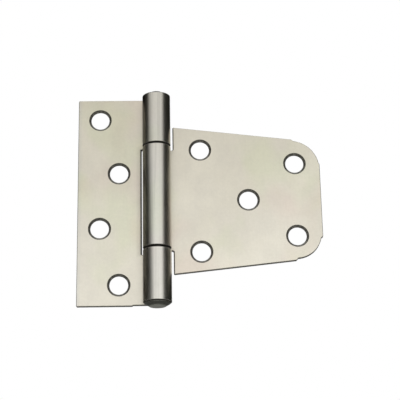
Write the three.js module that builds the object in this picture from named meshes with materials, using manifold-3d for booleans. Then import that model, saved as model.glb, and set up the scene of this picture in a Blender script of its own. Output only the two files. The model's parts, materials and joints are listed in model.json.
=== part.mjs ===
// T hinge: a square post leaf and a long tapered gate leaf, each stamped from
// one strip of plate with its knuckles rolled from the same plate, and turning
// on one headed pin.
//
// Units are millimetres, +Z is up. The pin runs along Z. Both leaves stand in
// the XZ plane, with their barrel side towards -Y and their flat backs towards
// +Y. The origin is the centre of the post leaf's flat back.
import * as THREE from 'three';
import { mergeVertices } from 'three/addons/utils/BufferGeometryUtils.js';
import Module from 'manifold-3d';

// ---- driving dimensions -------------------------------------------------
const PLATE = 1.9;             // plate thickness, 14 gauge
const PIN_R = 3.8;             // pin shank radius
const BORE_R = 3.9;            // inside of the rolled knuckles
const BARREL_R = BORE_R + PLATE;
const SEAM_DEG = 37;           // rolled tip wraps this far past the leaf's side

const POST_H = 88.9;           // post leaf height, 3-1/2 in
const POST_LEFT = 32.6;        // pin axis to the post leaf's free edge
const POST_RELIEF_Z = 0.3;     // the bottom knuckle strip is this much shorter
const POST_RELIEF_X = 9.7;     // and starts this far from the axis

const KNUCKLE_HALF = 21.8;     // half height of the gate leaf's knuckle
const KNUCKLE_GAP = 0.5;       // end gap between neighbouring knuckles
const NOTCH_X = 6.2;           // pin axis to the bottom of the post leaf's notch
const NOTCH_CORNER_R = 0.7;    // relief at the notch's lower corner
const SHOULDER_X = 6.65;       // pin axis to the gate leaf's shoulders
const SHOULDER_CORNER_R = 0.6;

const GATE_RIGHT = 67.85;      // pin axis to the gate leaf's free end
const GATE_TOP0 = 32.93;       // upper edge of the gate leaf produced to the axis
const GATE_TOP_FALL = 0.1163;  // and its fall per mm along the leaf
const GATE_LOW0 = -32.25;      // lower edge of the gate leaf produced to the axis
const GATE_LOW_RISE = 0.1074;  // and its rise per mm along the leaf

const HOLE_R = 3.7;            // clear screw hole
const HOLE_MOUTH_R = 4.65;     // bevelled edge of the hole, on the front
const HOLE_BEVEL = 0.72;       // depth of that bevel
const POST_HOLES = [           // [x from axis, z]
  [-23.5, 35.5], [-15.6, 11.75], [-23.5, -12.05], [-15.6, -35.8],
];
const GATE_HOLES = [
  [18.05, 21.9], [57.35, 15.55], [37.7, -0.15], [18.05, -22.2], [57.35, -15.85],
];

const PIN_TOP_RISE = 1.55;     // bevelled pin end, above the top knuckle
const PIN_HEAD_GAP = 0.12;     // head to the lower knuckle's end
const PIN_HEAD_H = 1.5;
const PIN_HEAD_R = 5.3;
const PIN_HEAD_END_R = 3.4;

const ARC_STEP = 360 / 96;     // facet angle of the rolled barrels and the pin
const HOLE_SIDES = 40;

// ---- derived places -----------------------------------------------------
const BACK_Y = BARREL_R;               // flat backs, measured from the axis
const AXIS_X = (POST_LEFT + NOTCH_X) / 2;  // axis from the post leaf's centre
const NOTCH_HALF = KNUCKLE_HALF + KNUCKLE_GAP;
const LOWER_END = -POST_H / 2 + POST_RELIEF_Z;

// ---- booleans -----------------------------------------------------------
const wasm = await Module();
wasm.setup();

function solid(geometry) {
  const g = geometry.index ? geometry.toNonIndexed() : geometry.clone();
  for (const name of Object.keys(g.attributes)) {
    if (name !== 'position') g.deleteAttribute(name);
  }
  const m = mergeVertices(g, 1e-4);
  return new wasm.Manifold(new wasm.Mesh({
    numProp: 3,
    vertProperties: new Float32Array(m.attributes.position.array),
    triVerts: new Uint32Array(m.index.array),
  }));
}

function geometryOf(manifold) {
  const mesh = manifold.getMesh();
  const g = new THREE.BufferGeometry();
  const p = new Float32Array(mesh.numVert * 3);
  for (let i = 0; i < mesh.numVert; i++) {
    for (let k = 0; k < 3; k++) p[3 * i + k] = mesh.vertProperties[mesh.numProp * i + k];
  }
  g.setAttribute('position', new THREE.BufferAttribute(p, 3));
  g.setIndex(Array.from(mesh.triVerts));
  g.computeVertexNormals();
  return g;
}

const rad = THREE.MathUtils.degToRad;

// points on an arc about (cx, cy), both ends included
function arc(cx, cy, r, fromDeg, toDeg, step = ARC_STEP) {
  const n = Math.max(1, Math.round(Math.abs(toDeg - fromDeg) / step));
  const pts = [];
  for (let i = 0; i <= n; i++) {
    const a = rad(fromDeg + (toDeg - fromDeg) * i / n);
    pts.push(new THREE.Vector2(cx + r * Math.cos(a), cy + r * Math.sin(a)));
  }
  return pts;
}

// Section across the axis of one leaf with its rolled knuckle. The plate lies
// with its back on y = BACK_Y, reaches from x = -length to the axis, then rolls
// round the far side and over the front, and its tip comes back beside the
// plate. side = 1 gives the mirrored section, for a leaf on the +X side.
function rolledSection(length, side) {
  const sweep = 270 + SEAM_DEG;          // from the rear tangent round to the tip
  const outer = arc(0, 0, BARREL_R, 90, 90 - sweep);
  const inner = arc(0, 0, BORE_R, 90 - sweep, 90);
  const pts = [
    new THREE.Vector2(-length, BACK_Y),
    ...outer,
    ...inner,
    new THREE.Vector2(-length, BACK_Y - PLATE),
  ];
  return new THREE.Shape(pts.map((p) => new THREE.Vector2(side * p.x, p.y)));
}

function extrudeZ(shape, z0, z1) {
  const g = new THREE.ExtrudeGeometry(shape, { depth: z1 - z0, bevelEnabled: false, steps: 1 });
  g.translate(0, 0, z0);
  return solid(g);
}

// a prism through the leaf along Y from an outline drawn in X and Z
function prismY(points, y0, y1) {
  const shape = new THREE.Shape(points.map(([x, z]) => new THREE.Vector2(x, z)));
  const g = new THREE.ExtrudeGeometry(shape, { depth: y1 - y0, bevelEnabled: false, steps: 1 });
  g.rotateX(Math.PI / 2);                // (x, y, depth) becomes (x, -depth, y)
  g.translate(0, y1, 0);
  return solid(g);
}

// Cutter for one screw hole: straight through, with its front edge bevelled.
function holeCutter(x, z) {
  const front = BACK_Y - PLATE;
  const pts = [
    [0, -2], [HOLE_MOUTH_R, -2], [HOLE_MOUTH_R, 0], [HOLE_R, HOLE_BEVEL],
    [HOLE_R, PLATE + 2], [0, PLATE + 2],
  ].map(([r, y]) => new THREE.Vector2(r, y));
  const g = new THREE.LatheGeometry(pts, HOLE_SIDES);  // turned about Y
  g.translate(x, front, z);
  return solid(g);
}

const toPairs = (vectors) => vectors.map((v) => [v.x, v.y]);

// ---- post leaf ----------------------------------------------------------
function makePostLeaf() {
  const half = POST_H / 2;
  const far = BARREL_R + 4;
  const cornerX = -NOTCH_X + NOTCH_CORNER_R;
  const cornerZ = -NOTCH_HALF - 0.3;
  const outline = [
    [-POST_LEFT, -half],
    [-POST_RELIEF_X - 0.4, -half],
    [-POST_RELIEF_X, LOWER_END],
    [far, LOWER_END],
    [far, -NOTCH_HALF],
    // lower end of the notch, relieved below the knuckle's end face
    ...toPairs(arc(cornerX, cornerZ, NOTCH_CORNER_R, 0, -180, 22.5)),
    // upper end of the notch, with a filleted corner
    ...toPairs(arc(-NOTCH_X + 0.5, NOTCH_HALF - 0.5, 0.5, 180, 90, 22.5)),
    [far, NOTCH_HALF],
    [far, half],
    [-POST_LEFT, half],
  ];
  let body = extrudeZ(rolledSection(POST_LEFT, 1), -half - 1, half + 1);
  body = body.intersect(prismY(outline, -BARREL_R - 2, BACK_Y + 2));
  for (const [x, z] of POST_HOLES) body = body.subtract(holeCutter(x, z));
  return geometryOf(body);
}

// ---- gate leaf ----------------------------------------------------------
function makeGateLeaf() {
  const upper = (x) => GATE_TOP0 - GATE_TOP_FALL * x;
  const lower = (x) => GATE_LOW0 + GATE_LOW_RISE * x;
  const far = BARREL_R + 4;
  // The two free corners are rounded by separate cuts, which leave a small step
  // where each meets the straight edges.
  const top = { x: 55.5, z: 13.67, r: 12.15, from: 82, to: 10 };
  const low = { x: 56.75, z: -14.8, r: 10.5, from: -11, to: -87 };
  const topStart = top.x + top.r * Math.cos(rad(top.from));
  const lowEnd = low.x + low.r * Math.cos(rad(low.to));
  const shoulder = SHOULDER_X - SHOULDER_CORNER_R;
  const outline = [
    [-far, -KNUCKLE_HALF],
    // inner corner between the knuckle's neck and the lower shoulder
    ...toPairs(arc(shoulder, -KNUCKLE_HALF - SHOULDER_CORNER_R, SHOULDER_CORNER_R, 90, 0, 22.5)),
    [SHOULDER_X, lower(SHOULDER_X)],
    [lowEnd - 0.5, lower(lowEnd - 0.5)],
    ...toPairs(arc(low.x, low.z, low.r, low.to, low.from, 5)),
    [GATE_RIGHT, low.z + low.r * Math.sin(rad(low.from)) + 0.5],
    [GATE_RIGHT, top.z + top.r * Math.sin(rad(top.to)) - 0.5],
    ...toPairs(arc(top.x, top.z, top.r, top.to, top.from, 5)),
    [topStart - 0.5, upper(topStart - 0.5)],
    [SHOULDER_X, upper(SHOULDER_X)],
    ...toPairs(arc(shoulder, KNUCKLE_HALF + SHOULDER_CORNER_R, SHOULDER_CORNER_R, 0, -90, 22.5)),
    [-far, KNUCKLE_HALF],
  ];
  let body = extrudeZ(rolledSection(GATE_RIGHT + 2, -1), GATE_LOW0 - 1, GATE_TOP0 + 1);
  body = body.intersect(prismY(outline, -BARREL_R - 2, BACK_Y + 2));
  for (const [x, z] of GATE_HOLES) body = body.subtract(holeCutter(x, z));
  return geometryOf(body);
}

// ---- pin ----------------------------------------------------------------
// Turned section: a cone-shaped formed head under the lower knuckle, a plain
// shank, and a bevelled upper end standing a little above the top knuckle.
function makePin() {
  const top = POST_H / 2 + PIN_TOP_RISE;
  const seat = LOWER_END - PIN_HEAD_GAP;
  const base = seat - PIN_HEAD_H;
  const pts = [
    [0, base],
    [PIN_HEAD_END_R - 0.5, base],
    [PIN_HEAD_END_R, base + 0.2],
    [PIN_HEAD_R, seat - 0.45],
    [PIN_HEAD_R, seat],
    [PIN_R, seat],
    [PIN_R, top - 1.25],
    [PIN_R - 1.35, top - 0.14],
    [PIN_R - 1.8, top],
    [0, top],
  ].map(([r, z]) => new THREE.Vector2(r, z));
  const g = new THREE.LatheGeometry(pts, 96);
  g.rotateX(Math.PI / 2);                // lathe axis from Y to Z
  return geometryOf(solid(g));
}

// ---- assembly -----------------------------------------------------------
const zinc = (hex, roughness) => new THREE.MeshStandardMaterial({
  color: new THREE.Color(hex), metalness: 1.0, roughness,
});

function piece(name, geometry, material) {
  const mesh = new THREE.Mesh(geometry, material);
  mesh.name = name;
  return mesh;
}

const postLeaf = piece('post_leaf', makePostLeaf(), zinc(0xcfcbb9, 0.42));
const gateLeaf = piece('gate_leaf', makeGateLeaf(), zinc(0xd3d1c2, 0.42));
const hingePin = piece('hinge_pin', makePin(), zinc(0x8a857a, 0.5));

// All three share the pin axis, which stands AXIS_X from the post leaf's centre
// and BARREL_R in front of its back.
const onAxis = new THREE.Group();
onAxis.position.set(AXIS_X, -BACK_Y, 0);
onAxis.add(postLeaf, gateLeaf, hingePin);

const hinge = new THREE.Group();
hinge.name = 't_hinge';
hinge.add(onAxis);

export default hinge;
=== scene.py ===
import json
import math

import bpy
import bmesh
import numpy as np
from mathutils import Matrix, Vector, noise
from mathutils.geometry import delaunay_2d_cdt


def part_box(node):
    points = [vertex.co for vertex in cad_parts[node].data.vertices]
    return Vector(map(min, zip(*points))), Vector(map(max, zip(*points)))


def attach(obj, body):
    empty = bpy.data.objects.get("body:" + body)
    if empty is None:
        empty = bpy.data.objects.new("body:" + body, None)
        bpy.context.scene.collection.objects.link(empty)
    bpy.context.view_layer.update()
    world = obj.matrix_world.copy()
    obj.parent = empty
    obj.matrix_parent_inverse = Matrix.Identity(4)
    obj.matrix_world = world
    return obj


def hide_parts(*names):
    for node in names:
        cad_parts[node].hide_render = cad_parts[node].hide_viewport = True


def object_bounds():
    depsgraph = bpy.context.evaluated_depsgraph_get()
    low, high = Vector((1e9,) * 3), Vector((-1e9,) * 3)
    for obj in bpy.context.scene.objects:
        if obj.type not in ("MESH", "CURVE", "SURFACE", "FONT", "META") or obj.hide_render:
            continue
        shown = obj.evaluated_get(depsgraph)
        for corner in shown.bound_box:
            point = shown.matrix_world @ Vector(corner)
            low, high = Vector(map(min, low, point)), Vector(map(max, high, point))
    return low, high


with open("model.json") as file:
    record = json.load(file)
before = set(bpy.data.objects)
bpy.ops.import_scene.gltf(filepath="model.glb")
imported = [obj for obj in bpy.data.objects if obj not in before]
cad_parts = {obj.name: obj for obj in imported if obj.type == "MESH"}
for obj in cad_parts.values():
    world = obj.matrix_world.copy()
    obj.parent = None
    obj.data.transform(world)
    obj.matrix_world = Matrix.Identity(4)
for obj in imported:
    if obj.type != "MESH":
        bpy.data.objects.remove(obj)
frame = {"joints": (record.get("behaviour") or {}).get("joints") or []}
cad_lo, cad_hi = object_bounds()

MM = 0.001
scene = bpy.context.scene

# ------------------------------------------------------------------ places
# Everything is built in "pin space": millimetres, the pin axis at x = y = 0,
# +Z up, +Y towards the leaves' flat backs. The joint gives the pin axis.
joint = [j for j in frame["joints"] if j["name"] == "pin_hinge"][0]
AXIS = Vector(joint["pos_m"])
post_lo, post_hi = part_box("post_leaf")
gate_lo, gate_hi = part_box("gate_leaf")
pin_lo, pin_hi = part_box("hinge_pin")

BARREL_R = (post_hi.y - AXIS.y) / MM          # outside of the rolled knuckles
PLATE = 1.9
BORE_R = BARREL_R - PLATE
HALF_H = post_hi.z / MM                       # the pin stands above this
POST_LEFT = (AXIS.x - post_lo.x) / MM
GATE_RIGHT = (gate_hi.x - AXIS.x) / MM
LOWER_END = -HALF_H + 0.3
KNUCKLE = 21.79
KNUCKLE_LOW = 21.68
NOTCH = 22.33
NOTCH_X = 6.22
SHOULDER_X = 6.65
HOLE_R = 3.7
POST_HOLES = [(-23.5, 35.5), (-15.6, 11.75), (-23.5, -12.05), (-15.6, -35.8)]
GATE_HOLES = [(18.05, 21.9), (57.35, 15.55), (37.7, -0.15), (18.05, -22.2), (57.35, -15.85)]

ROLL_RHO = (BARREL_R + BORE_R) / 2            # radius where the flat length is kept
ROLL_MAX = ROLL_RHO * math.radians(306.5)     # flat length of the rolled part
DU = ROLL_RHO * math.radians(3.0)


def to_row(p):
    """pin space, mm, to the row frame, m"""
    return Vector((p[0] * MM + AXIS.x, p[1] * MM + AXIS.y, p[2] * MM + AXIS.z))


# ---------------------------------------------------------------- outlines
def fillet(points, seg=6):
    """A closed polygon with each corner (u, z, r) rounded to radius r."""
    out = []
    n = len(points)
    for i in range(n):
        p = np.array(points[i][:2], float)
        r = points[i][2] if len(points[i]) > 2 else 0.0
        if r <= 0:
            out.append(tuple(p))
            continue
        a = np.array(points[i - 1][:2], float) - p
        b = np.array(points[(i + 1) % n][:2], float) - p
        la, lb = np.linalg.norm(a), np.linalg.norm(b)
        a, b = a / la, b / lb
        ang = math.acos(max(-1.0, min(1.0, float(a @ b))))
        if ang > math.radians(176):
            out.append(tuple(p))
            continue
        d = min(r / math.tan(ang / 2), la * 0.48, lb * 0.48)
        r = d * math.tan(ang / 2)
        bis = (a + b) / np.linalg.norm(a + b)
        c = p + bis * (r / math.sin(ang / 2))
        s, e = p + a * d, p + b * d
        a0 = math.atan2(s[1] - c[1], s[0] - c[0])
        a1 = math.atan2(e[1] - c[1], e[0] - c[0])
        da = (a1 - a0 + math.pi) % (2 * math.pi) - math.pi
        k = max(2, int(round(seg * abs(da) / (math.pi / 2))))
        for j in range(k + 1):
            t = a0 + da * j / k
            out.append((c[0] + r * math.cos(t), c[1] + r * math.sin(t)))
    return out


def densify(loop, step, rolled=True):
    """Adds points along the edges: at every roll step where the strip is
    rolled, and at most `step` apart elsewhere."""
    out = []
    n = len(loop)
    last = ROLL_MAX - 1.0
    for i in range(n):
        p, q = np.array(loop[i]), np.array(loop[(i + 1) % n])
        out.append(tuple(p))
        L = float(np.linalg.norm(q - p))
        if L < 1e-9:
            continue
        ts = []
        du = q[0] - p[0]
        if rolled and abs(du) > 1e-6:
            k0 = int(math.ceil(max(0.0, min(p[0], q[0])) / DU))
            k1 = int(math.floor(min(last, max(p[0], q[0])) / DU))
            for k in range(k0, k1 + 1):
                t = (k * DU - p[0]) / du
                if 0.02 / L < t < 1 - 0.02 / L:
                    ts.append(t)
        ts.sort()
        ts = [0.0] + ts + [1.0]
        for a, b in zip(ts[:-1], ts[1:]):
            if a > 0:
                out.append(tuple(p + (q - p) * a))
            m = int(math.floor((b - a) * L / step))
            for j in range(1, m + 1):
                t = a + (b - a) * j / (m + 1)
                out.append(tuple(p + (q - p) * t))
    clean = []
    for p in out:
        if not clean or math.dist(p, clean[-1]) > 0.004:
            clean.append(p)
    if math.dist(clean[0], clean[-1]) < 0.004:
        clean.pop()
    return clean


def area(loop):
    a = np.array(loop)
    b = np.roll(a, -1, 0)
    return 0.5 * float(np.sum(a[:, 0] * b[:, 1] - b[:, 0] * a[:, 1]))


def outward(loop):
    """Unit outward normal and mitre length at each point of a
    counter-clockwise loop."""
    a = np.array(loop)
    e = np.roll(a, -1, 0) - a
    e /= np.linalg.norm(e, axis=1)[:, None]
    n = np.stack([e[:, 1], -e[:, 0]], 1)
    m = n + np.roll(n, 1, 0)
    m /= np.linalg.norm(m, axis=1)[:, None]
    c = np.clip(np.sum(m * n, 1), 0.5, 1.0)
    return m, 1.0 / c


def inside(pts, loop):
    """Even-odd test of many points against one loop."""
    pts, lp = np.asarray(pts, float), np.asarray(loop, float)
    x, y = pts[:, 0][:, None], pts[:, 1][:, None]
    x0, y0 = lp[:, 0][None], lp[:, 1][None]
    x1, y1 = np.roll(lp[:, 0], -1)[None], np.roll(lp[:, 1], -1)[None]
    hit = (y0 > y) != (y1 > y)
    xi = x0 + (y - y0) * (x1 - x0) / np.where(np.abs(y1 - y0) < 1e-12, 1e-12, y1 - y0)
    return (np.sum(hit & (x < xi), 1) % 2) == 1


def near(pts, loop, d):
    """True where a point lies within d of the loop."""
    pts, a = np.asarray(pts, float), np.asarray(loop, float)
    b = np.roll(a, -1, 0)
    ab = b - a
    L2 = np.maximum(np.sum(ab * ab, 1), 1e-12)
    out = np.zeros(len(pts), bool)
    for i in range(0, len(pts), 400):
        p = pts[i:i + 400][:, None, :]
        t = np.clip(np.sum((p - a[None]) * ab[None], 2) / L2[None], 0, 1)
        q = a[None] + t[..., None] * ab[None]
        out[i:i + 400] = (np.linalg.norm(p - q, axis=2).min(1) < d)
    return out


# ------------------------------------------------------------ one leaf mesh
def edge_profile(u, towards_axis=0.0):
    """Rounded edge of a blanked outline: (inset, depth from the front face,
    normal angle from the front, wear and painted shade). The outside of the roll is rounded
    more, because rolling draws the strip's corners in, and so are the edges
    that face the barrel."""
    rf = 0.30
    if towards_axis > 0.7 and -7.0 < u < -5.0:
        rf = 0.30 + (0.42 if u > -6.5 else 0.22) * min(1.0, (towards_axis - 0.7) / 0.25)
    rb = 0.16 + 0.14 * max(0.0, min(1.0, u / 4.0))
    if u > 0:
        rf = 0.30 - 0.12 * max(0.0, min(1.0, u / 4.0))
    pr = []
    # edges facing the barrel get a high weight early on their front rounding: painted shade for the dark gap
    # beside the barrel
    facing = towards_axis > 0.7 and -7.0 < u < -5.0
    for k in range(5):
        a = math.radians(90 * k / 4)
        pr.append((rf * (1 - math.sin(a)), rf * (1 - math.cos(a)), math.degrees(a), ((0.15 if u > -6.5 else 0.0, 0.9, 0.95, 1.0, 1.0) if facing else (0.0, 0.5, 0.75, 0.9, 1.0))[k]))
    pr.append((0.012, PLATE * 0.42, 90, 1.0))
    pr.append((0.0, PLATE * 0.62, 90, 1.0))
    for k in range(5):
        a = math.radians(90 * k / 4)
        pr.append((rb * (1 - math.cos(a)), PLATE - rb * (1 - math.sin(a)), 90 + math.degrees(a), (1.0, 0.95, 0.9, 0.75, 0.0)[k] if u > 0 else (0.9, 0.8, 0.6, 0.3, 0.0)[k]))
    return pr


HOLE_PROFILE = [
    # bevelled mouth on the front, then the wall, torn a little wider at the
    # back as a punch leaves it
    # columns: inset, depth, normal angle, wear and painted shade; the walls carry full weight and are painted
    # dark as shade
    (1.06, 0.0, 0, 0.0), (1.01, 0.008, 16, 0.6), (0.97, 0.035, 45, 1.0),
    (0.60, 0.32, 46, 0.9), (0.19, 0.64, 46, 0.9), (0.12, 0.71, 66, 0.9),
    (0.07, 0.80, 90, 1.0), (0.10, 1.10, 93, 1.0), (0.34, PLATE - 0.14, 100, 1.0),
    (0.40, PLATE - 0.04, 135, 0.6), (0.50, PLATE, 180, 0.0),
]


def flat_to_pin(u, z, s, side):
    """Flat pattern (u along the strip, z, s = depth from the front face) to
    pin space, with the local directions along u, across z and out of the
    front face."""
    back = PLATE - s                       # distance in from the flat back
    if u <= 0:
        p = np.array([u, BARREL_R - back, z])
        eu, ef = np.array([1.0, 0, 0]), np.array([0, -1.0, 0])
    else:
        f = u / ROLL_RHO
        r = BARREL_R - back
        p = np.array([r * math.sin(f), r * math.cos(f), z])
        eu = np.array([math.cos(f), -math.sin(f), 0])
        ef = np.array([-math.sin(f), -math.cos(f), 0])
    if side < 0:
        p[0], eu[0], ef[0] = -p[0], -eu[0], -ef[0]
    return p, eu, ef


def build_leaf(name, outline, holes, side, strips, seed):
    loops, kinds = [], []
    outer = densify(outline, 1.3)
    if area(outer) < 0:
        outer.reverse()
    loops.append(outer)
    kinds.append("edge")
    for (hx, hz) in holes:
        u = hx if side > 0 else -hx
        ring = [(u + HOLE_R * math.cos(a), hz + HOLE_R * math.sin(a))
                for a in np.linspace(0, 2 * math.pi, 72, endpoint=False)]
        ring.reverse()                     # clockwise: the material is outside
        loops.append(ring)
        kinds.append("hole")

    verts, norms, wear_and_shade, roll = [], [], [], []
    front_ids, back_ids = [], []           # per loop, ids of the cap rings
    faces = []

    def wave(u, z):
        # stamped plate is never quite flat
        v = noise.noise(Vector((u * 0.045 + seed, z * 0.045, seed * 1.7)))
        return 0.012 * (v + 1.0) * max(0.0, min(1.0, (-u - 2.0) / 6.0))

    def add(u, z, s, nf, no, direction, w):
        """nf, no: parts of the normal out of the front and outwards in the
        sheet; direction: that outward direction in (u, z)."""
        p, eu, ef = flat_to_pin(u, z, s, side)
        p = p + ef * wave(u, z)
        n = ef * nf + (eu * direction[0] + np.array([0, 0, 1.0]) * direction[1]) * no
        verts.append(to_row(p))
        norms.append(n / np.linalg.norm(n))
        wear_and_shade.append(w)
        roll.append(max(0.0, min(1.0, u / 2.5)))
        return len(verts) - 1

    for loop, kind in zip(loops, kinds):
        nrm, mit = outward(loop)
        rings = []
        count = len(edge_profile(0)) if kind == "edge" else len(HOLE_PROFILE)
        for k in range(count):
            ids = []
            for (u, z), d, m in zip(loop, nrm, mit):
                prof = edge_profile(u, d[0]) if kind == "edge" else HOLE_PROFILE
                inset, depth, ang, w = prof[k]
                q = np.array((u, z)) - d * inset * m
                # the front face is towards -Y: a depth from it is s
                ids.append(add(q[0], q[1], depth, math.cos(math.radians(ang)), math.sin(math.radians(ang)), d, w))
            rings.append(ids)
        for r0, r1 in zip(rings[:-1], rings[1:]):
            n = len(r0)
            for i in range(n):
                j = (i + 1) % n
                faces.append((r0[i], r0[j], r1[j], r1[i]))
        front_ids.append(rings[0])
        back_ids.append(rings[-1])

    flat = {i: None for ids in front_ids + back_ids for i in ids}
    # flat coordinates of the cap rings, recomputed from the profiles
    def cap_coords(which):
        res = []
        for loop, kind in zip(loops, kinds):
            nrm, mit = outward(loop)
            row = []
            for (u, z), d, m in zip(loop, nrm, mit):
                prof = edge_profile(u, d[0]) if kind == "edge" else HOLE_PROFILE
                inset = prof[0][0] if which == "front" else prof[-1][0]
                row.append(tuple(np.array((u, z)) - d * inset * m))
            res.append(row)
        return res

    n_cap = 0
    for which, ring_ids in (("front", front_ids), ("back", back_ids)):
        rows = cap_coords(which)
        grid = []
        # fine columns where the strip is rolled
        k = 0
        while k * DU < ROLL_MAX - 1.0:
            for z0, z1 in strips:
                m = max(2, int(round((z1 - z0 - 1.6) / 1.5)))
                for j in range(m + 1):
                    grid.append((k * DU, z0 + 0.8 + (z1 - z0 - 1.6) * j / m))
            k += 1
        lo = np.array(rows[0]).min(0)
        hi = np.array(rows[0]).max(0)
        u = -2.2
        while u > lo[0]:
            for z in np.arange(lo[1], hi[1], 2.2):
                grid.append((u, z))
            u -= 2.2
        grid = np.array(grid)
        keep = inside(grid, rows[0])
        for i, row in enumerate(rows):
            keep &= ~near(grid, row, 0.55)
            if i:
                keep &= ~inside(grid, row)
        grid = grid[keep]
        pts, edges, ids = [], [], []
        for row, rid in zip(rows, ring_ids):
            b = len(pts)
            pts += row
            ids += rid
            edges += [(b + i, b + (i + 1) % len(row)) for i in range(len(row))]
        s = 0.0 if which == "front" else PLATE
        nf = 1.0 if which == "front" else -1.0
        for g in grid:
            pts.append(tuple(g))
            ids.append(add(g[0], g[1], s, nf, 0.0, (1, 0), 0.0))
        co, _, tri, orig, _, _ = delaunay_2d_cdt([Vector(p) for p in pts], edges, [], 0, 1e-6, True)
        if len(co) != len(pts):
            raise RuntimeError(f"{name} {which}: outline crosses itself, {len(co)} for {len(pts)} points")
        back_to = [o[0] for o in orig]
        cen = np.array([np.mean([co[v][:] for v in t], 0) for t in tri])
        ok = inside(cen, rows[0])
        for row in rows[1:]:
            ok &= ~inside(cen, row)
        # points in line along a straight edge leave slivers on its outside
        for i, t in enumerate(tri):
            if ok[i] and all(back_to[v] < len(rows[0]) for v in t):
                a, b, c = (np.array(co[v][:]) for v in t)
                longest = max(np.linalg.norm(a - b), np.linalg.norm(b - c), np.linalg.norm(c - a))
                twice = abs((b - a)[0] * (c - a)[1] - (b - a)[1] * (c - a)[0])
                if twice < 0.0005 * longest:
                    ok[i] = False
        for t, good in zip(tri, ok):
            if good:
                f = tuple(ids[back_to[v]] for v in t)
                faces.append(f if which == "back" else f[::-1])
                n_cap += 1

    if side < 0:
        faces = [f[::-1] for f in faces]
    mesh = bpy.data.meshes.new(name)
    mesh.from_pydata([tuple(v) for v in verts], [], faces)
    mesh.validate()
    # check the facing against the intended normals, and turn all faces if needed
    mesh.update()
    vote = 0.0
    nn = np.array(norms)
    for p in mesh.polygons:
        c = np.mean([nn[i] for i in p.vertices], 0)
        vote += float(np.dot(c, p.normal)) * p.area
    if vote < 0:
        mesh.flip_normals()
    for layer, data in (("wear_and_shade", wear_and_shade), ("roll", roll)):
        a = mesh.attributes.new(layer, "FLOAT", "POINT")
        a.data.foreach_set("value", np.array(data, np.float32))
    obj = bpy.data.objects.new(name, mesh)
    scene.collection.objects.link(obj)
    bm = bmesh.new()
    bm.from_mesh(mesh)
    bmesh.ops.join_triangles(bm, faces=[f for f in bm.faces if len(f.verts) == 3],
                             angle_face_threshold=math.radians(4), angle_shape_threshold=math.radians(25))
    bm.to_mesh(mesh)
    bm.free()
    for p in mesh.polygons:
        p.use_smooth = True
    mesh.normals_split_custom_set_from_vertices([tuple(n) for n in norms])
    return obj


# ---- post leaf
post_outline = fillet([
    (-POST_LEFT, -HALF_H, 0.5),
    (-10.3, -HALF_H, 0.6),
    (-9.7, LOWER_END, 0.6),
    (ROLL_MAX, LOWER_END, 0.8),
    (ROLL_MAX, -NOTCH, 0.8),
    (-4.9, -NOTCH, 0.45),
    (-5.4, -NOTCH - 1.0, 0.5),
    (-NOTCH_X, -NOTCH - 1.0, 0.62),
    (-NOTCH_X, NOTCH, 0.5),
    (ROLL_MAX, NOTCH, 0.8),
    (ROLL_MAX, HALF_H, 0.8),
    (-POST_LEFT, HALF_H, 0.5),
])
post_leaf = build_leaf("post_leaf_plate", post_outline, POST_HOLES, 1,
                       [(LOWER_END, -NOTCH), (NOTCH, HALF_H)], 3.1)


# ---- gate leaf
def gate_upper(x):
    return 32.93 - 0.1163 * x


def gate_lower(x):
    return -32.25 + 0.1074 * x


def arc_pts(cx, cz, r, a0, a1, n):
    return [(cx + r * math.cos(math.radians(a0 + (a1 - a0) * i / n)),
             cz + r * math.sin(math.radians(a0 + (a1 - a0) * i / n)), 0.0) for i in range(n + 1)]


low = arc_pts(56.75, -14.8, 10.5, -87, -11, 22)
top = arc_pts(55.5, 13.67, 12.15, 10, 82, 22)
low[0] = (*low[0][:2], 0.45)
low[-1] = (*low[-1][:2], 0.45)
top[0] = (*top[0][:2], 0.3)
top[-1] = (*top[-1][:2], 0.45)
xs, xe = low[0][0] - 0.75, top[-1][0] - 0.75
gate_pts = [
    (-ROLL_MAX, -KNUCKLE_LOW, 0.8),
    (SHOULDER_X, -KNUCKLE_LOW, 0.6),
    (SHOULDER_X, gate_lower(SHOULDER_X), 0.45),
    (xs, gate_lower(xs), 0.5),
    *low,
    (GATE_RIGHT, low[-1][1] + 0.6, 0.45),
    (GATE_RIGHT, top[0][1] - 0.55, 0.45),
    *top,
    (xe, gate_upper(xe), 0.5),
    (SHOULDER_X, gate_upper(SHOULDER_X), 0.45),
    (SHOULDER_X, KNUCKLE, 0.6),
    (-ROLL_MAX, KNUCKLE, 0.8),
]
gate_outline = fillet([(-x, z, r) for x, z, r in gate_pts])
gate_leaf = build_leaf("gate_leaf_plate", gate_outline, GATE_HOLES, -1, [(-KNUCKLE_LOW, KNUCKLE)], 8.4)


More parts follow.
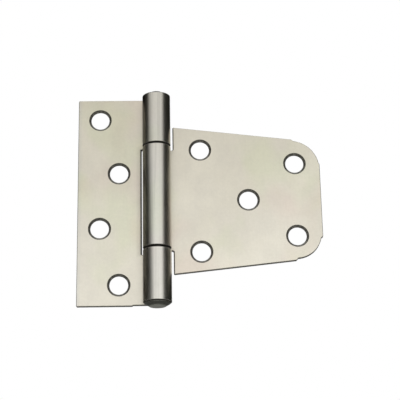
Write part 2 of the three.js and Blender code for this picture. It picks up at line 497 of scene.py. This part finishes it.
# ---- pin
def build_pin(name):
    top_z = pin_hi.z / MM
    base = pin_lo.z / MM
    seat = LOWER_END - 0.12
    R = (pin_hi.x - pin_lo.x) / 2 / MM
    sh = 3.8
    prof = [  # (radius, z, wear and painted shade)
        (0.0, base + 0.08, 0), (1.2, base + 0.05, 0), (2.1, base + 0.03, 0), (2.9, base + 0.01, 0.0),
        (3.14, base + 0.02, 0.1), (3.32, base + 0.07, 0.2), (3.46, base + 0.17, 0.4),
        (3.90, base + 0.45, 0.5), (4.48, base + 0.80, 0.5), (4.92, base + 1.05, 0.4),
        (5.10, base + 1.16, 0.2), (5.22, base + 1.26, 0.1), (R, base + 1.36, 0.3),
        (R, seat - 0.07, 0.5), (5.26, seat - 0.02, 0.6), (5.18, seat, 0.3), (4.4, seat, 0), (sh, seat, 0.1),
        (sh, seat + 0.5, 0), (sh, -20.0, 0), (sh, 0.0, 0), (sh, 20.0, 0), (sh, HALF_H - 1.5, 0),
        (sh, top_z - 1.38, 0.3), (sh - 0.03, top_z - 1.25, 0.9), (sh - 0.11, top_z - 1.13, 1.0),
        (3.22, top_z - 0.62, 1.0), (2.82, top_z - 0.20, 1.0), (2.72, top_z - 0.10, 1.0),
        (2.58, top_z - 0.03, 0.8), (2.35, top_z - 0.005, 0.3), (1.3, top_z, 0.1), (0.0, top_z, 0),
    ]
    seg = 128
    verts, faces, wear_and_shade, rollv = [], [], [], []
    rings = []
    for k, (r, z, w) in enumerate(prof):
        if r == 0:
            verts.append(to_row((0, 0, z)))
            wear_and_shade.append(w)
            rings.append([len(verts) - 1])
            continue
        ids = []
        for i in range(seg):
            a = 2 * math.pi * i / seg
            rr, zz = r, z
            if z < seat - 0.2 and r < R - 0.01:
                # cold-forged head: faintly lumpy
                v = noise.noise(Vector((math.cos(a) * 1.7 + 4, math.sin(a) * 1.7, z * 1.1)))
                zz += 0.035 * abs(v) * min(1.0, (seat - 0.2 - z))
                rr -= 0.03 * abs(v)
            if z > top_z - 0.1:
                v = noise.noise(Vector((r * math.cos(a) * 0.6, r * math.sin(a) * 0.6, 7.7)))
                zz -= 0.04 * abs(v)
            verts.append(to_row((rr * math.cos(a), rr * math.sin(a), zz)))
            wear_and_shade.append(w)
            ids.append(len(verts) - 1)
        rings.append(ids)
    for r0, r1 in zip(rings[:-1], rings[1:]):
        if len(r0) == 1:
            faces += [(r0[0], r1[(i + 1) % seg], r1[i]) for i in range(seg)]
        elif len(r1) == 1:
            faces += [(r0[i], r0[(i + 1) % seg], r1[0]) for i in range(seg)]
        else:
            faces += [(r0[i], r0[(i + 1) % seg], r1[(i + 1) % seg], r1[i]) for i in range(seg)]
    mesh = bpy.data.meshes.new(name)
    mesh.from_pydata([tuple(v) for v in verts], [], faces)
    mesh.validate()
    a = mesh.attributes.new("wear_and_shade", "FLOAT", "POINT")
    a.data.foreach_set("value", np.array(wear_and_shade, np.float32))
    a = mesh.attributes.new("roll", "FLOAT", "POINT")
    a.data.foreach_set("value", np.zeros(len(verts), np.float32))
    # painted highlight: the struck end and the head's rim are painted brighter than the flank of the head
    heights = np.array([(v[2] - AXIS.z) / MM for v in verts])
    struck_end_highlight = np.clip((base + 0.32 - heights) / 0.26, 0.0, 1.0)
    rim_highlight = np.clip(1.0 - np.abs(heights - (base + 1.32)) / 0.16, 0.0, 1.0) * 0.7
    a = mesh.attributes.new("head_highlight", "FLOAT", "POINT")
    a.data.foreach_set("value", np.maximum(struck_end_highlight, rim_highlight).astype(np.float32))
    obj = bpy.data.objects.new(name, mesh)
    scene.collection.objects.link(obj)
    bm = bmesh.new()
    bm.from_mesh(mesh)
    bmesh.ops.recalc_face_normals(bm, faces=bm.faces[:])
    bm.to_mesh(mesh)
    bm.free()
    for p in mesh.polygons:
        p.use_smooth = True
    mesh.set_sharp_from_angle(angle=math.radians(50))
    return obj


pin = build_pin("hinge_pin_turned")


# --------------------------------------------------------------- materials
class Nodes:
    """Small helper to write node trees in few lines."""

    def __init__(self, tree):
        self.t = tree

    def n(self, kind, **kw):
        node = self.t.nodes.new(kind)
        for k, v in kw.items():
            setattr(node, k, v)
        return node

    def link(self, a, b):
        self.t.links.new(a, b)

    def math(self, op, a, b=None, c=None, clamp=False):
        m = self.n("ShaderNodeMath", operation=op, use_clamp=clamp)
        for i, v in enumerate((a, b, c)):
            if v is None:
                continue
            if isinstance(v, (int, float)):
                m.inputs[i].default_value = v
            else:
                self.link(v, m.inputs[i])
        return m.outputs[0]

    def scale(self, vec, s, loc=(0, 0, 0), rot=(0, 0, 0)):
        m = self.n("ShaderNodeMapping")
        m.inputs["Scale"].default_value = s
        m.inputs["Location"].default_value = loc
        m.inputs["Rotation"].default_value = rot
        self.link(vec, m.inputs["Vector"])
        return m.outputs[0]

    def noise(self, vec, scale, detail=2.0, rough=0.5, distortion=0.0):
        m = self.n("ShaderNodeTexNoise")
        m.inputs["Scale"].default_value = scale
        m.inputs["Detail"].default_value = detail
        m.inputs["Roughness"].default_value = rough
        m.inputs["Distortion"].default_value = distortion
        self.link(vec, m.inputs["Vector"])
        return m.outputs["Fac"]

    def ramp(self, fac, stops):
        r = self.n("ShaderNodeValToRGB")
        el = r.color_ramp.elements
        while len(el) > 1:
            el.remove(el[-1])
        el[0].position, el[0].color = stops[0][0], (*stops[0][1], 1)
        for p, c in stops[1:]:
            e = el.new(p)
            e.color = (*c, 1)
        self.link(fac, r.inputs[0])
        return r.outputs[0]

    def mix(self, fac, a, b, blend="MIX"):
        m = self.n("ShaderNodeMix", data_type="RGBA", blend_type=blend)
        m.clamp_factor = True
        for sock, v in ((0, fac), (6, a), (7, b)):
            if isinstance(v, (int, float)):
                m.inputs[sock].default_value = v
            elif isinstance(v, tuple):
                m.inputs[sock].default_value = (*v, 1)
            else:
                self.link(v, m.inputs[sock])
        return m.outputs[2]


def zinc(name, warm, cool, green, pink, rough, dark=1.0, scatter=0.72, grain_axis="Z", seed=0.0, crease=0.0, edge_shade_x=None):
    """Satin zinc plating over cold-rolled steel."""
    mat = bpy.data.materials.new(name)
    mat.use_nodes = True
    t = mat.node_tree
    t.nodes.clear()
    k = Nodes(t)
    out = k.n("ShaderNodeOutputMaterial")
    bsdf = k.n("ShaderNodeBsdfPrincipled")
    k.link(bsdf.outputs[0], out.inputs[0])
    bsdf.inputs["IOR"].default_value = 1.5
    tc = k.n("ShaderNodeTexCoord")
    obj = k.scale(tc.outputs["Object"], (1, 1, 1), loc=(seed, seed * 0.37, -seed * 0.61))
    xyz = k.n("ShaderNodeSeparateXYZ")
    k.link(tc.outputs["Object"], xyz.inputs[0])
    wear_and_shade = k.n("ShaderNodeAttribute", attribute_name="wear_and_shade", attribute_type="GEOMETRY").outputs["Fac"]
    roll = k.n("ShaderNodeAttribute", attribute_name="roll", attribute_type="GEOMETRY").outputs["Fac"]

    # colour: broad drift from warm and darker (upper left) to neutral and lighter (lower right); the warm tint is
    # the plating's own, the darkening towards the upper left is painted shade
    tint_and_shade_drift = k.math("MULTIPLY_ADD", xyz.outputs["X"], 1.5, 0.38)
    tint_and_shade_drift = k.math("SUBTRACT", tint_and_shade_drift, k.math("MULTIPLY", xyz.outputs["Z"], 9.0))
    broad = k.noise(obj, 26.0, 3.0, 0.55)
    tint_and_shade_drift = k.math("ADD", tint_and_shade_drift, k.math("MULTIPLY_ADD", broad, 0.9, -0.45), clamp=True)
    col = k.mix(tint_and_shade_drift, warm, cool)
    # chromate bloom: faint green and pink clouds
    g = k.ramp(k.noise(k.scale(obj, (1, 1, 0.8), loc=(0.31, 0.2, 0.11)), 52.0, 2.0, 0.5),
               [(0.50, (0, 0, 0)), (0.66, (1, 1, 1))])
    p = k.ramp(k.noise(k.scale(obj, (1, 1, 0.8), loc=(-0.41, 0.6, 0.5)), 46.0, 2.0, 0.5),
               [(0.50, (0, 0, 0)), (0.68, (1, 1, 1))])
    col = k.mix(k.math("MULTIPLY", g, 0.9), col, k.mix(1.0, col, green, "MULTIPLY"))
    col = k.mix(k.math("MULTIPLY", p, 0.9), col, k.mix(1.0, col, pink, "MULTIPLY"))
    # handling and drying marks, a centimetre or so across
    dull = k.noise(k.scale(obj, (1, 1, 0.7), loc=(0.9, 0.1, 0.4)), 105.0, 3.0, 0.55)
    col = k.mix(1.0, col, k.ramp(dull, [(0.36, (0.955, 0.955, 0.965)), (0.60, (1.0, 1.0, 1.0))]), "MULTIPLY")
    if edge_shade_x is not None:             # painted shade: the outer edge of the post leaf is darkened a little and cooled, for the shading of its rounded edge
        edge_shade = k.math("MULTIPLY_ADD", xyz.outputs["X"], -1000.0 / 1.7, edge_shade_x / 1.7 + 1.0, clamp=True)
        col = k.mix(edge_shade, col, k.mix(1.0, col, (0.89, 0.915, 0.965), "MULTIPLY"))
    # the barrel, worked over the dies, has lost the warm cast
    col = k.mix(roll, col, k.mix(1.0, col, (0.955, 0.975, 1.035), "MULTIPLY"))
    # fine mottling of the plating crystals
    mott = k.noise(obj, 900.0, 3.0, 0.6)
    col = k.mix(1.0, col, k.ramp(mott, [(0.3, (0.955, 0.955, 0.955)), (0.7, (1.0, 1.0, 1.0))]), "MULTIPLY")
    # rolled skin: long faint streaks
    axis = {"Z": (1.0, 1.0, 0.045), "X": (0.045, 1.0, 1.0)}[grain_axis]
    streak = k.noise(k.scale(obj, axis), 1500.0, 2.0, 0.6)
    col = k.mix(1.0, col, k.ramp(streak, [(0.32, (0.982, 0.982, 0.98)), (0.68, (1, 1, 1))]), "MULTIPLY")
    # drawing lines that the rolling dies leave along the barrel
    lines = k.noise(k.scale(obj, (1.0, 1.0, 0.012), loc=(0.1, 0.3, 0.0)), 1150.0, 3.0, 0.6)
    lines = k.ramp(lines, [(0.34, (0.80, 0.80, 0.80)), (0.46, (0.97, 0.97, 0.97)), (0.62, (1, 1, 1))])
    col = k.mix(k.math("MULTIPLY", roll, 0.75), col, k.mix(1.0, col, lines, "MULTIPLY"))
    # sheared and rounded edges are duller, and painted nearly black: painted shade on the edge walls, hole walls
    # and rounded edges
    wear_and_shade_n = k.math("MULTIPLY", wear_and_shade, k.math("MULTIPLY_ADD", k.noise(obj, 700.0, 2.0, 0.6), 0.7, 0.70), clamp=True)
    col = k.mix(k.math("MULTIPLY", wear_and_shade_n, 0.96, clamp=True), col, (0.062 * dark, 0.060 * dark, 0.052 * dark))
    # painted shade in the gaps between the knuckles, with dark grease, along the knuckles' ends
    gap_shade_and_grease = k.math("MULTIPLY", k.math("MULTIPLY", wear_and_shade_n, roll), 1.1, clamp=True)
    col = k.mix(gap_shade_and_grease, col, (0.045, 0.042, 0.036))
    # painted shade in the crease between the barrel's left side and the post leaf
    if crease:
        side = k.math("MULTIPLY_ADD", xyz.outputs["X"], -1000.0, (AXIS.x / MM) - 4.35, clamp=True)
        face = k.math("MULTIPLY_ADD", xyz.outputs["Y"], -500.0, AXIS.y / MM * 0.5 + 1.6, clamp=True)
        crease_shade_mask = k.math("MULTIPLY", k.math("MULTIPLY", side, face), roll)
        crease_shade_mask = k.math("MULTIPLY", crease_shade_mask, k.math("MULTIPLY_ADD", k.noise(obj, 260.0, 2.0, 0.6), 0.2 * crease, 0.82 * crease), clamp=True)
        col = k.mix(crease_shade_mask, col, (0.060, 0.056, 0.046))
    if dark != 1.0:
        # brighten the pin head's struck end and rim: painted highlight
        head_highlight_fac = k.n("ShaderNodeAttribute", attribute_name="head_highlight", attribute_type="GEOMETRY").outputs["Fac"]
        level = k.math("MULTIPLY_ADD", head_highlight_fac, 1.7 * dark, dark)
        tone = k.n("ShaderNodeCombineColor")
        for i in range(3):
            k.link(level, tone.inputs[i])
        col = k.mix(1.0, col, tone.outputs[0], "MULTIPLY")
    k.link(col, bsdf.inputs["Base Color"])

    # bare sheared steel and bevels scatter more than the plated faces
    plated = k.math("SUBTRACT", 1.0, k.math("MULTIPLY", wear_and_shade, scatter))
    clean = k.math("SUBTRACT", 1.0, gap_shade_and_grease)
    k.link(k.math("MULTIPLY", plated, clean), bsdf.inputs["Metallic"])
    k.link(k.math("MULTIPLY", k.math("MULTIPLY", plated, clean), 0.5), bsdf.inputs["Specular IOR Level"])

    # gloss
    r = k.math("MULTIPLY_ADD", k.noise(obj, 120.0, 3.0, 0.6), 0.10, rough - 0.05)
    r = k.math("ADD", r, k.math("MULTIPLY_ADD", streak, 0.07, -0.035))
    r = k.math("ADD", r, k.math("MULTIPLY", wear_and_shade_n, 0.14))
    r = k.math("ADD", r, k.math("MULTIPLY", roll, -0.065), clamp=True)
    k.link(r, bsdf.inputs["Roughness"])

    # relief: long rolling lines, orange peel, slow waviness, shear marks
    h = k.math("MULTIPLY", k.noise(k.scale(obj, axis), 2600.0, 2.0, 0.6), 0.15)
    h = k.math("ADD", h, k.math("MULTIPLY", k.noise(obj, 620.0, 3.0, 0.55), 0.38))
    h = k.math("ADD", h, k.math("MULTIPLY", k.noise(obj, 48.0, 2.0, 0.5), 3.0))
    shear = k.noise(k.scale(obj, (1.0, 0.10, 1.0)), 2200.0, 2.0, 0.6)
    h = k.math("ADD", h, k.math("MULTIPLY", k.math("MULTIPLY", shear, wear_and_shade_n), 1.4))
    b = k.n("ShaderNodeBump")
    b.inputs["Strength"].default_value = 1.0
    b.inputs["Distance"].default_value = 0.000006
    k.link(h, b.inputs["Height"])
    k.link(b.outputs[0], bsdf.inputs["Normal"])
    return mat


WARM = (0.690, 0.647, 0.538)
COOL = (0.906, 0.866, 0.750)
GREEN = (0.960, 1.000, 0.925)
PINK = (1.000, 0.950, 0.955)
m_post = zinc("zinc_post", WARM, COOL, GREEN, PINK, 0.37, seed=0.0, crease=1.0, edge_shade_x=post_lo.x / MM)
m_gate = zinc("zinc_gate", WARM, COOL, GREEN, PINK, 0.37, seed=0.7, crease=0.85)
m_pin = zinc("zinc_pin", (0.40, 0.39, 0.345), (0.41, 0.405, 0.375), GREEN, PINK, 0.42, dark=0.45, seed=1.9)

post_leaf.data.materials.append(m_post)
gate_leaf.data.materials.append(m_gate)
pin.data.materials.append(m_pin)

for piece, node, body, slot in ((post_leaf, "post_leaf", "post_side", "zinc_plate"),
                                (gate_leaf, "gate_leaf", "gate_side", "zinc_plate"),
                                (pin, "hinge_pin", "post_side", "pin_steel")):
    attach(piece, body)
    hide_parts(node)

# ------------------------------------------------------------------- floor
def build_floor():
    mesh = bpy.data.meshes.new("floor")
    s, z = 6.0, -0.62
    n = 12
    verts = [(-s + 2 * s * i / n, -s + 2 * s * j / n, z) for j in range(n + 1) for i in range(n + 1)]
    faces = [(j * (n + 1) + i, j * (n + 1) + i + 1, (j + 1) * (n + 1) + i + 1, (j + 1) * (n + 1) + i)
             for j in range(n) for i in range(n)]
    mesh.from_pydata(verts, [], faces)
    obj = bpy.data.objects.new("floor", mesh)
    scene.collection.objects.link(obj)
    mat = bpy.data.materials.new("floor_paint")
    mat.use_nodes = True
    b = mat.node_tree.nodes["Principled BSDF"]
    b.inputs["Base Color"].default_value = (0.86, 0.86, 0.85, 1)
    b.inputs["Roughness"].default_value = 0.9
    b.inputs["Emission Color"].default_value = (1.0, 1.0, 0.99, 1)
    b.inputs["Emission Strength"].default_value = 0.42
    mesh.materials.append(mat)
    return obj


floor = build_floor()
floor.visible_glossy = False               # the object's metal doesn't mirror it

# ---------------------------------------------------------- light and world
world = bpy.data.worlds.new("studio")
scene.world = world
world.use_nodes = True
wt = world.node_tree
wt.nodes.clear()
w = Nodes(wt)
wout = w.n("ShaderNodeOutputWorld")
geo = w.n("ShaderNodeTexCoord")
sep = w.n("ShaderNodeSeparateXYZ")
w.link(geo.outputs["Generated"], sep.inputs[0])
DX, DY, DZ = sep.outputs
az = w.math("MULTIPLY", w.math("ARCTAN2", DX, w.math("MULTIPLY", DY, -1.0)), 180 / math.pi)   # 0 in front, + to the right
el = w.math("MULTIPLY", w.math("ARCSINE", DZ), 180 / math.pi)


def smooth(x, a, b):
    m = w.n("ShaderNodeMapRange", interpolation_type="SMOOTHSTEP")
    m.inputs["From Min"].default_value = a
    m.inputs["From Max"].default_value = b
    w.link(x, m.inputs["Value"])
    return m.outputs[0]


def mul(*v):
    r = v[0]
    for x in v[1:]:
        r = w.math("MULTIPLY", r, x)
    return r


FRONT, SIDE, BACK, BEHIND, ABOVE, BELOW = 0.96, 0.010, 0.75, 0.30, 0.09, 0.34
absaz = w.math("ABSOLUTE", az)
# the front screen is wider at the top than at the bottom
elc = w.math("MINIMUM", w.math("MAXIMUM", el, 11.0), 25.0)
low_by = w.math("SUBTRACT", 22.0, elc)
left_edge = w.math("MULTIPLY_ADD", low_by, 3.0, -61.0)
right_edge = w.math("MULTIPLY_ADD", low_by, -1.3, 56.0)
front = mul(smooth(w.math("SUBTRACT", az, left_edge), -9, 9), smooth(w.math("SUBTRACT", az, right_edge), 7, -7))
# brighter towards the horizon, with one more light high up
gain = w.n("ShaderNodeMapRange")
for name, v in (("From Min", -10.0), ("From Max", 48.0), ("To Min", 1.42), ("To Max", 0.56)):
    gain.inputs[name].default_value = v
w.link(el, gain.inputs["Value"])
gain = w.math("ADD", gain.outputs[0], mul(smooth(el, 46, 54), 0.32))
# a second screen behind the object lights its back
behind = mul(smooth(absaz, 150, 162), smooth(el, 32, 24))
behind_level = w.math("ADD", mul(smooth(el, -8, 2), BACK - BEHIND), BEHIND)
side_level = w.math("ADD", mul(front, gain, FRONT), mul(behind, behind_level))
side_level = w.math("ADD", side_level, SIDE)
up = smooth(el, 72, 80)
down = mul(smooth(el, -20, -34), smooth(absaz, 120, 90))
lev = w.math("ADD", mul(side_level, w.math("SUBTRACT", 1.0, up)), mul(up, ABOVE))
lev = w.math("ADD", mul(lev, w.math("SUBTRACT", 1.0, down)), mul(down, BELOW))
tint = w.n("ShaderNodeMix", data_type="RGBA")
tint.inputs[6].default_value = (0.90, 0.93, 0.70, 1)
tint.inputs[7].default_value = (1.0, 1.0, 1.0, 1)
w.link(smooth(lev, 0.02, 0.35), tint.inputs[0])
bg = w.n("ShaderNodeBackground")
w.link(tint.outputs[2], bg.inputs["Color"])
w.link(lev, bg.inputs["Strength"])
white = w.n("ShaderNodeBackground")
white.inputs["Color"].default_value = (1, 1, 1, 1)
white.inputs["Strength"].default_value = 1.0
lp = w.n("ShaderNodeLightPath")
mixs = w.n("ShaderNodeMixShader")
w.link(lp.outputs["Is Camera Ray"], mixs.inputs[0])
w.link(bg.outputs[0], mixs.inputs[1])
w.link(white.outputs[0], mixs.inputs[2])
w.link(mixs.outputs[0], wout.inputs[0])


def area_light(name, loc, target, size, power):
    d = bpy.data.lights.new(name, "AREA")
    d.shape = "RECTANGLE"
    d.size, d.size_y = size
    d.energy = power
    o = bpy.data.objects.new(name, d)
    scene.collection.objects.link(o)
    o.location = loc
    o.rotation_mode = "QUATERNION"
    o.rotation_quaternion = (Vector(target) - Vector(loc)).to_track_quat("-Z", "Y")
    return o


centre = (cad_lo + cad_hi) / 2
area_light("floor_fill", centre + Vector((0.0, 0.0, 1.6)), centre, (2.4, 2.4), 30.0)

# ------------------------------------------------------------------ camera
# Seen from slightly below the middle, a long lens nearly square to the leaves.
F_PX, TILT, YAW, ROLL_DEG = 1212.76, 18.415, 1.686, 1.071
CX, CZ, DIST = 17.593, -1.382, 495.352
ti, ya, ro = (math.radians(v) for v in (TILT, YAW, ROLL_DEG))
Ry = np.array([[math.cos(ya), 0, math.sin(ya)], [0, 1, 0], [-math.sin(ya), 0, math.cos(ya)]])
Rx = np.array([[1, 0, 0], [0, math.cos(ti), math.sin(ti)], [0, -math.sin(ti), math.cos(ti)]])
Rz = np.array([[math.cos(ro), -math.sin(ro), 0], [math.sin(ro), math.cos(ro), 0], [0, 0, 1]])
M = Rz @ Rx @ Ry                           # rows: the camera's right, up, back


def view_to_row(v):
    """(right, up, towards the viewer) to the row frame's directions"""
    return Vector((v[0], -v[2], v[1]))


cam_data = bpy.data.cameras.new("camera")
cam_data.sensor_width = 36.0
cam_data.lens = 36.0 * F_PX / 400.0
cam_data.clip_start, cam_data.clip_end = 0.02, 30.0
cam = bpy.data.objects.new("camera", cam_data)
scene.collection.objects.link(cam)
pos = np.array([CX, CZ, 0.0]) + M.T @ np.array([0, 0, DIST])
cam_pos = to_row((pos[0], -pos[2], pos[1]))
right, up_, back = (view_to_row(M[i]) for i in range(3))
rot = Matrix((right, up_, back)).transposed().to_4x4()
cam.matrix_world = Matrix.Translation(cam_pos) @ rot
scene.camera = cam

scene.view_settings.view_transform = "Standard"
scene.view_settings.look = "None"

# ------------------------------------------------------------------ finish
bpy.context.view_layer.update()
